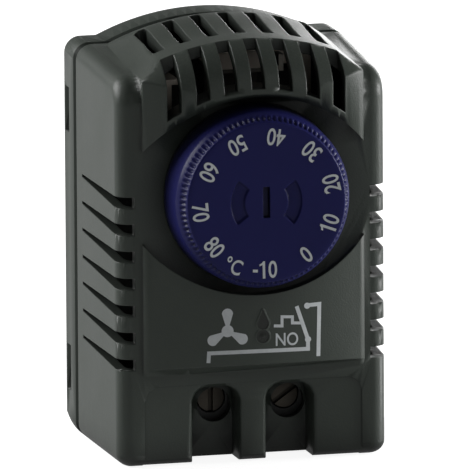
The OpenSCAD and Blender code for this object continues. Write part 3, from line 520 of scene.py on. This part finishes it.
def welded_copy(node, body, finish, angle=SHELL_ANGLE):
    """A copy with shared corners merged, smooth up to an angle, flat faces weighing most."""
    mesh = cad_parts[node].data.copy()
    mesh.name = node + "_skin"
    work = bmesh.new()
    work.from_mesh(mesh)
    bmesh.ops.remove_doubles(work, verts=work.verts, dist=WELD)
    bmesh.ops.dissolve_degenerate(work, dist=WELD / 2, edges=work.edges)
    work.to_mesh(mesh)
    work.free()
    smooth(mesh, angle)
    mesh.materials.clear()
    mesh.materials.append(finish)
    skin = add_object(node + "_skin", mesh)
    even = skin.modifiers.new("even_faces", "WEIGHTED_NORMAL")
    even.keep_sharp = True
    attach(skin, body)
    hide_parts(node)
    print(skin.name, len(mesh.vertices), "corners")
    return skin


cover_skin = welded_copy("front_cover", "case", slate)
welded_copy("rear_base", "case", slate)

# %% [markdown]
# ## The latch's spring
#
# The coil stands in a pocket of the base and the latch presses on its upper end. It is
# 5.47 mm long at rest and 2.97 mm when the latch is drawn down. A welded copy with a
# mesh of its own stands for it.

# %% A welded copy of the spring
coil = welded_copy("latch_spring", "case", spring_steel, angle=60)
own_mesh(coil)

# %% [markdown]
# ## The crowned panel
#
# Under the knob the real moulding swells forwards, like the hood above it: the printed
# line bows, and light from the right brightens one end only. The rigid model has a flat
# panel there. Cutting the flat face into upright strips, one for each chord of the arch
# above it, and pushing their edges forward along a parabola keeps its outline in the
# picture, and the prints can use the same function.

# %% How far the panel stands out
PANEL_HALF, PANEL_FLAT = 18.85, 1.05          # the rigid panel's half width and its depth
CROWN_MIDDLE, CROWN_DROP = 4.75, 3.94
SHIFT_X, SHIFT_Z = -0.252, 0.193              # per mm forward, to stay put in the picture


def crown(x):
    """How far the panel stands proud: 4.75 - 3.94 (x / 18.85)^2."""
    return CROWN_MIDDLE - CROWN_DROP * (np.asarray(x) / PANEL_HALF) ** 2


def crowned(points):
    """Points of the flat panel moved forward by crown - 1.05 along the camera's line of sight."""
    x, y, z = np.asarray(points, float).T
    extra = crown(x) - PANEL_FLAT
    x = x + SHIFT_X * extra
    return np.stack((x, y - crown(x) + PANEL_FLAT, z + SHIFT_Z * extra), -1)


print("middle and sides stand out", crown(0), "and", crown(PANEL_HALF).round(2), "mm")

# %% Push the panel out
PANEL_LINE = metres((0, -1, 0))[1]            # what lies before this is the panel
ARCH_FOOT, ARCH_TOP = 0.028, 0.038            # heights between which the arch runs, in metres
LIFT_START, LIFT_RISE = 16.7, 12              # where the lift starts to fade, and over what


def panel_faces(work, corner, top):
    """Faces under a top whose first corner (min) or last corner (max) lies before the line."""
    return [f for f in work.faces if corner(v.co.y for v in f.verts) < PANEL_LINE
            and max(v.co.z for v in f.verts) < top]


def corners_and_edges(faces):
    """The corners and the edges of some faces, each once, in the same order every time."""
    return (list(dict.fromkeys(v for f in faces for v in f.verts)),
            list(dict.fromkeys(e for f in faces for e in f.edges)))


def cut_strips(mesh):
    """Cut the panel upright at the x of each corner of the arch."""
    work = bmesh.new()
    work.from_mesh(mesh)
    arch = {round(v.co.x, 6) for v in work.verts
            if v.co.y < PANEL_LINE and ARCH_FOOT < v.co.z < ARCH_TOP}
    for cut in sorted(arch)[1:-1]:
        panel = panel_faces(work, min, ARCH_TOP)
        corners, edges = corners_and_edges(panel)
        bmesh.ops.bisect_plane(work, geom=panel + corners + edges, dist=2e-6,
                               plane_co=(cut, 0, 0), plane_no=(1, 0, 0))
    work.to_mesh(mesh)
    work.free()


def push_out(mesh):
    """y - (crown - 1.05), and z + 0.71 - 0.76 t^2 at the foot to 0.37 - 0.47 t^2 at the arch."""
    at = np.empty(len(mesh.vertices) * 3)
    mesh.vertices.foreach_get("co", at)
    at = at.reshape(-1, 3)
    t2 = (at[:, 0] / MM / PANEL_HALF) ** 2
    high = np.clip((at[:, 2] / MM - LIFT_START) / LIFT_RISE, 0, 1)
    lift = (0.71 - 0.76 * t2) * (1 - high) + (0.37 - 0.47 * t2) * high
    proud = (at[:, 1] < PANEL_LINE) & (at[:, 2] < ARCH_TOP)
    at[proud, 1] -= (crown(at[proud, 0] / MM) - PANEL_FLAT) * MM
    at[proud, 2] += lift[proud] * MM
    mesh.vertices.foreach_set("co", at.ravel())
    return int(proud.sum())


def join_strips(mesh):
    """Make each strip one face again, where its triangles turn by less than 0.3 degrees."""
    work = bmesh.new()
    work.from_mesh(mesh)
    corners, edges = corners_and_edges(panel_faces(work, max, ARCH_TOP + 0.0005))
    bmesh.ops.dissolve_limit(work, angle_limit=math.radians(0.3), verts=corners, edges=edges,
                             use_dissolve_boundaries=False)
    work.to_mesh(mesh)
    work.free()
    mesh.set_sharp_from_angle(angle=math.radians(SHELL_ANGLE))


cut_strips(cover_skin.data)
moved = push_out(cover_skin.data)
join_strips(cover_skin.data)
print(moved, "panel corners moved")

# %% [markdown]
# ## Surfaces from numbers
#
# A new piece is a grid of points, worked out as whole arrays, with a quad between each
# four neighbours. Rows that shrink to a point are merged, so poles and seams are closed.


# %% Grid to mesh
def quads(rows, columns, closed=True):
    """Corners (i, j), (i, j+1), (i+1, j+1), (i+1, j); the last column meets the first."""
    i, j = np.meshgrid(np.arange(rows - 1), np.arange(columns if closed else columns - 1),
                       indexing="ij")
    k = (j + 1) % columns
    return np.stack((i * columns + j, i * columns + k, (i + 1) * columns + k,
                     (i + 1) * columns + j), -1).reshape(-1, 4)


def piece(name, points, faces, body, finish, angle=35, merge=True):
    """A mesh of case points that rides on a body; its doubles merged, smooth up to an angle."""
    mesh = bpy.data.meshes.new(name)
    mesh.from_pydata(metres(points).tolist(), [], [list(map(int, f)) for f in faces])
    if merge:
        work = bmesh.new()
        work.from_mesh(mesh)
        bmesh.ops.remove_doubles(work, verts=work.verts, dist=1e-7)
        bmesh.ops.recalc_face_normals(work, faces=work.faces)
        work.to_mesh(mesh)
        work.free()
    smooth(mesh, angle)
    mesh.materials.append(finish)
    made = add_object(name, mesh)
    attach(made, body)
    print(name, len(mesh.polygons), "faces")
    return made


def step(x, width):
    """Smooth step from 0 at x = 0 to 1 at x = width: 3t^2 - 2t^3."""
    t = np.clip(x / width, 0, 1)
    return t * t * (3 - 2 * t)


print("grid of 3 x 4 gives", len(quads(3, 4)), "faces")

# %% [markdown]
# ## The setting knob
#
# The knob is one moulding: a flat face with a screwdriver slot and two kidney shaped
# finger recesses, a bevel with ninety five short teeth for grip, and a flared skirt that
# dips into the round bay. It is a turned profile whose points are pushed in by a depth
# that depends on radius and angle, which keeps teeth and recesses on one skin.

# %% Depths in the knob
DIAL_Z = 45.55
TEETH = 95
AROUND = TEETH * 8
SLOT_DEPTH, KIDNEY_DEPTH, TOOTH_DEPTH = 0.9, 0.42, 0.34


def sunk(r, angle):
    """Depth under the face: the slot |x| < 0.6, |z| < 2.6, and two arcs of 3.7 < r < 6.05."""
    x, z = r * np.cos(angle), r * np.sin(angle)
    slot = SLOT_DEPTH * step(0.6 - np.abs(x), 0.14) * step(2.6 - np.abs(z), 0.14)
    swing = np.abs((angle + np.radians(2) + np.pi / 2) % np.pi - np.pi / 2)
    ends = step((np.radians(39) - swing) * r, 0.5)
    kidney = KIDNEY_DEPTH * step(r - 3.62, 0.3) * step(6.12 - r, 0.3) * ends
    return slot + kidney


def teeth(angle, share):
    """A dip between teeth: 0.34 mm times a rounded triangle wave, for a share of 0 to 1."""
    wave = np.abs((angle * TEETH / (2 * np.pi)) % 1 - 0.5) * 2
    return TOOTH_DEPTH * share * step(wave, 1.0)


print("slot is", sunk(0.0, 0.0).round(2), "mm deep")


# %% Knob profile
def run(start, end, count):
    """Evenly spaced (radius, y) points from start up to, but not including, end."""
    return np.linspace(start, end, count, endpoint=False)


face = np.vstack((run((0, -9.5), (6.4, -9.5), 66), run((6.4, -9.5), (13.2, -9.5), 8)))
shoulder = np.array([(13.2, -9.5), (13.34, -9.47), (13.46, -9.36)])
bevel = run((13.53, -9.2), (14.68, -7.1), 13)
lip = np.array([(14.72, -7.0), (14.78, -6.8), (14.83, -6.4)])
skirt = run((14.84, -6.0), (15.2, -0.5), 5)
under = np.array([(15.2, -0.5), (15.16, -0.45), (13.8, -0.45), (13.15, -6.07), (11.4, -7.9),
                  (4.2, -7.9), (4.2, -1.0), (2.55, -1.0), (2.55, -7.9), (0, -7.9)])
profile = np.vstack((face, shoulder, bevel, lip, skirt, under))
before_bevel = len(face) + len(shoulder)
toothed = np.zeros(len(profile))
toothed[before_bevel:before_bevel + len(bevel)] = np.sin(
    np.pi * np.clip(np.linspace(0, 1.3, len(bevel)), 0, 1))
print("profile of", len(profile), "rings with", AROUND, "points each")

# %% Knob skin
INWARD, BACKWARD = 0.83, 0.55                 # the way that a dip goes into the bevel
angle = np.linspace(0, 2 * np.pi, AROUND, endpoint=False)
r, y = profile[:, :1], profile[:, 1:]
groove = teeth(angle[None, :], toothed[:, None])
ring_r = r - groove * INWARD
on_face = np.arange(len(profile))[:, None] < len(face)
ring_y = y + groove * BACKWARD + np.where(on_face, sunk(r, angle[None, :]), 0)
knob_points = np.stack((ring_r * np.cos(angle), ring_y, DIAL_Z + ring_r * np.sin(angle)), -1)
knob = piece("setting_knob", knob_points.reshape(-1, 3), quads(len(profile), AROUND),
             "setting_dial", knob_blue, angle=50)
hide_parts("dial")

# %% [markdown]
# ## Printed numbers
#
# The scale is pad printed in white: thin, flat, narrow figures whose tops point to the
# middle of the knob. A text is made a mesh, squeezed to the width of the real figures,
# turned, and laid a few hundredths of a millimetre proud of the face.

# %% Print on a plane
SCALE_Y, FIGURE = -9.53, 2.9
WEIGHT, CAPITAL = 0.013, 0.73                 # the letters' extra stroke and unsqueezed height


def turned(uv, centre, turn, y):
    """Flat points (u, v) turned by an angle and put round a centre (x, z), on a plane of y."""
    a = math.radians(turn)
    x = centre[0] + uv[:, 0] * math.cos(a) - uv[:, 1] * math.sin(a)
    z = centre[1] + uv[:, 0] * math.sin(a) + uv[:, 1] * math.cos(a)
    return np.stack((x, np.full_like(x, y), z), -1)


def printed(name, text, centre, height, turn, y=SCALE_Y, body="setting_dial",
            narrow=0.79, lay=np.asarray):
    """Letters of a height, squeezed in u and centred, then turned and laid on their face."""
    curve = bpy.data.curves.new(name, "FONT")
    curve.body, curve.size, curve.offset, curve.resolution_u = text, 1.0, WEIGHT, 6
    words = add_object(name + "_text", curve)
    seen = words.evaluated_get(bpy.context.evaluated_depsgraph_get())
    flat = bpy.data.meshes.new_from_object(seen)
    bpy.data.objects.remove(words)
    uv = np.empty(len(flat.vertices) * 3)
    flat.vertices.foreach_get("co", uv)
    uv = uv.reshape(-1, 3)[:, :2]
    uv = (uv - (uv.max(0) + uv.min(0)) / 2) * (narrow, 1.0) * height / CAPITAL
    faces = [tuple(p.vertices) for p in flat.polygons]
    return piece(name, lay(turned(uv, centre, turn, y)), faces, body, ink, merge=False)


def figure_one(name, centre, turn):
    """A one with a flag: an outline (u, v) of the figures' height, turned by an angle."""
    uv = np.array([(0.09, -0.5), (0.09, 0.5), (-0.02, 0.5), (-0.09, 0.40), (-0.24, 0.33),
                   (-0.24, 0.22), (-0.06, 0.29), (-0.06, -0.5)]) * FIGURE
    return piece(name, turned(uv, centre, turn, SCALE_Y), [tuple(range(len(uv)))[::-1]],
                 "setting_dial", ink, merge=False)


print("figures are", FIGURE, "mm high and lie at y =", SCALE_Y, "mm")

# %% The scale
ONE_BACK, NOUGHT_ON = 0.8, 0.75               # how far the figures of a ten stand apart
scale_marks = {"10": [(0.22, 34.28), (10.69, 41.51)], "0": [(6.69, 36.49)],
               "20": [(11.03, 48.14)], "30": [(7.68, 53.75)], "40": [(1.68, 56.4)],
               "50": [(-4.9, 55.34)], "60": [(-9.7, 51.08)], "70": [(-11.24, 44.41)],
               "80": [(-8.94, 38.5)]}
for text, places in scale_marks.items():
    for index, (x, z) in enumerate(places):
        turn = math.degrees(math.atan2(z - DIAL_Z, x)) + 90
        middle = np.array((x, z))
        if text == "10":
            along = np.array((math.cos(math.radians(turn)), math.sin(math.radians(turn))))
            figure_one(f"figure_1_{index}", middle - ONE_BACK * along, turn)
            middle = middle + NOUGHT_ON * along
        printed(f"figure_{text}_{index}", "0" if text == "10" else text, middle, FIGURE, turn)
printed("figure_minus", "-", (-2.0, 34.15), FIGURE, -4)
printed("figure_degree", "°C", (-5.65, 35.2), 2.6, -22)

# %% [markdown]
# ## Signs on the lower panel
#
# Three printed signs say what the switch does: a small fan for what it drives, a stepped
# line and a switch symbol, and the letters for a contact that is normally open. Lines
# are ribbons with mitred corners, and the fan is one outline in polar form.

# %% Ribbons and dots
PANEL_Y = -1.08
BENDS, OVERSHOOT = 16, 0.2                    # points in each stretch, and share of extra end
RINGS, ROUND = 9, 180


def ribbon(name, path, width):
    """Each point moved left and right along the mitre of its two segments, on the crown.

    Each stretch is first divided evenly, apart from a margin of one width at its corners.
    """
    corner = np.array(path, float)
    run_to = corner[1:] - corner[:-1]
    margin = width / np.linalg.norm(run_to, axis=1)[:, None]
    share = np.hstack((0 * margin, margin + (1 - 2 * margin) * np.linspace(0, 1, BENDS)))
    p = (corner[:-1, None] + share[..., None] * run_to[:, None]).reshape(-1, 2)
    p = np.vstack((p, corner[-1:]))
    along = np.diff(p, axis=0)
    along /= np.linalg.norm(along, axis=1)[:, None]
    before, after = np.vstack((along[:1], along)), np.vstack((along, along[-1:]))
    normal = np.stack((-(before + after)[:, 1], (before + after)[:, 0]), -1)
    normal /= np.linalg.norm(normal, axis=1)[:, None]
    side = np.stack((-after[:, 1], after[:, 0]), -1)
    reach = width / 2 / (normal * side).sum(1)[:, None]
    ends = np.zeros_like(p)
    ends[0], ends[-1] = -along[0] * width / 2 * OVERSHOOT, along[-1] * width / 2 * OVERSHOOT
    edge = np.stack((p + ends + normal * reach, p + ends - normal * reach), 1).reshape(-1, 2)
    points = crowned(np.insert(edge, 1, PANEL_Y, axis=1))
    faces = quads(len(p), 2, closed=False)[:, ::-1]
    return piece(name, points, faces, "case", ink, merge=False)


def blot(name, centre, radius, lift=0.0):
    """Rings k/8 of an outline radius(angle) about a centre; radius may be a number."""
    a = np.linspace(0, 2 * np.pi, ROUND, endpoint=False)
    outline = radius(a) if callable(radius) else np.full_like(a, radius)
    r = np.linspace(0, 1, RINGS)[:, None] * outline
    points = np.stack((centre[0] + r * np.cos(a), np.full_like(r, PANEL_Y - lift),
                       centre[1] + r * np.sin(a)), -1).reshape(-1, 3)
    return piece(name, crowned(points), quads(RINGS, ROUND)[:, ::-1], "case", ink)


def fan_outline(a):
    """Largest of the hub and, near each blade, d cos f + sqrt(w^2 - (d sin f)^2)."""
    d, w, hub = 2.86, 0.95, 1.02
    f = (a - np.pi / 2 + np.pi / 3) % (2 * np.pi / 3) - np.pi / 3
    inside = w * w - (d * np.sin(f)) ** 2
    blade = np.where(inside > 0, d * np.cos(f) + np.sqrt(np.maximum(inside, 0)), 0)
    return np.maximum(hub, blade)


print("signs lie at y =", PANEL_Y, "mm before they follow the crown")

# %% The signs
LINE, THIN_LINE, DOT, DOT_LIFT = 0.66, 0.5, 0.52, 0.02
PIVOT = (9.03, 20.52)
ribbon("sign_step", [(3.28, 23.08), (4.62, 23.01), (4.63, 24.56), (6.39, 24.46),
                     (6.39, 23.43), (7.86, 23.34)], THIN_LINE)
ribbon("sign_blade", [(7.14, 26.15), PIVOT], LINE)
ribbon("sign_contact", [(8.91, 26.27), (10.99, 26.37), (10.79, 17.65)], LINE)
ribbon("sign_feed", [PIVOT, (9.02, 18.92), (-7.8, 19.01), (-7.91, 17.45)], LINE)
blot("sign_dot_upper", (8.91, 26.2), DOT, lift=DOT_LIFT)
blot("sign_dot_lower", PIVOT, DOT, lift=DOT_LIFT)
blot("sign_fan", (-4.63, 22.6), fan_outline)
printed("sign_letters", "NO", (5.45, 20.75), 2.2, 0.0, PANEL_Y, "case", narrow=0.84,
        lay=crowned)

# %% [markdown]
# ## The moulded drop
#
# Beside the fan the tool has cut a small drop over a round dimple. It is a shallow
# relief: the distance to the outline, negative inside, gives a low ridge along it. The
# rim of the patch sinks below the panel, so no seam shows, and what lies inside the
# outline is glossier and painted darker, as painted shade in the shallow hollow.

# %% Drop relief
BELLY, DIMPLE = (1.37, 23.55), (1.35, 21.4)
BELLY_R, DIMPLE_R, TIP_UP, TIP_NARROW = 1.0, 1.1, 2.3, 0.94
ROWS, COLUMNS = 139, 67


def distance_to_drop(x, z):
    """Least of |p - c| - r over circles that shrink from the drop's belly to its tip."""
    t = np.linspace(0, 1, 24)[:, None, None]
    belly = (np.sqrt((x - BELLY[0]) ** 2 + (z - BELLY[1] - TIP_UP * t) ** 2)
             - (BELLY_R - TIP_NARROW * t))
    dimple = np.sqrt((x - DIMPLE[0]) ** 2 + (z - DIMPLE[1]) ** 2) - DIMPLE_R
    return np.minimum(belly.min(0), dimple), dimple


xs, zs = np.meshgrid(np.linspace(-0.3, 3.0, COLUMNS), np.linspace(19.7, 26.6, ROWS))
near, dimple = distance_to_drop(xs, zs)
ridge = 0.10 * np.exp(-((near - 0.06) / 0.16) ** 2)
floor_in = 0.03 * step(-near, 0.3)
bead = 0.14 * np.exp(-(((dimple + DIMPLE_R) / 0.42) ** 2))
sink = -0.03 * step(near - 0.3, 0.15)
relief = -PANEL_FLAT - (ridge + floor_in + bead + sink)
points = np.stack((xs, relief, zs), -1).reshape(-1, 3)
drop = piece("moulded_drop", crowned(points), quads(ROWS, COLUMNS, closed=False)[:, ::-1],
             "case", slate, merge=False)
# The second finish paints shade on the faces inside the drop's outline.
drop.data.materials.append(drop_painted_shade)
sunk_in = (near[:-1, :-1] + near[1:, 1:]) / 2 < 0
drop.data.polygons.foreach_set("material_index", sunk_in.ravel().astype(np.int32))

# %% [markdown]
# ## Last measure
#
# The box of the dressed model is measured against the box of the rigid one, which it is
# meant to match apart from the thickness of the print on the knob; the largest change is printed.

# %% Change of size
dressed_box = [list(corner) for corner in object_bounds()]
growth = np.abs(np.array(dressed_box) - np.array(cad_box)).max() / MM
print("largest change of the box:", round(float(growth), 3), "mm")
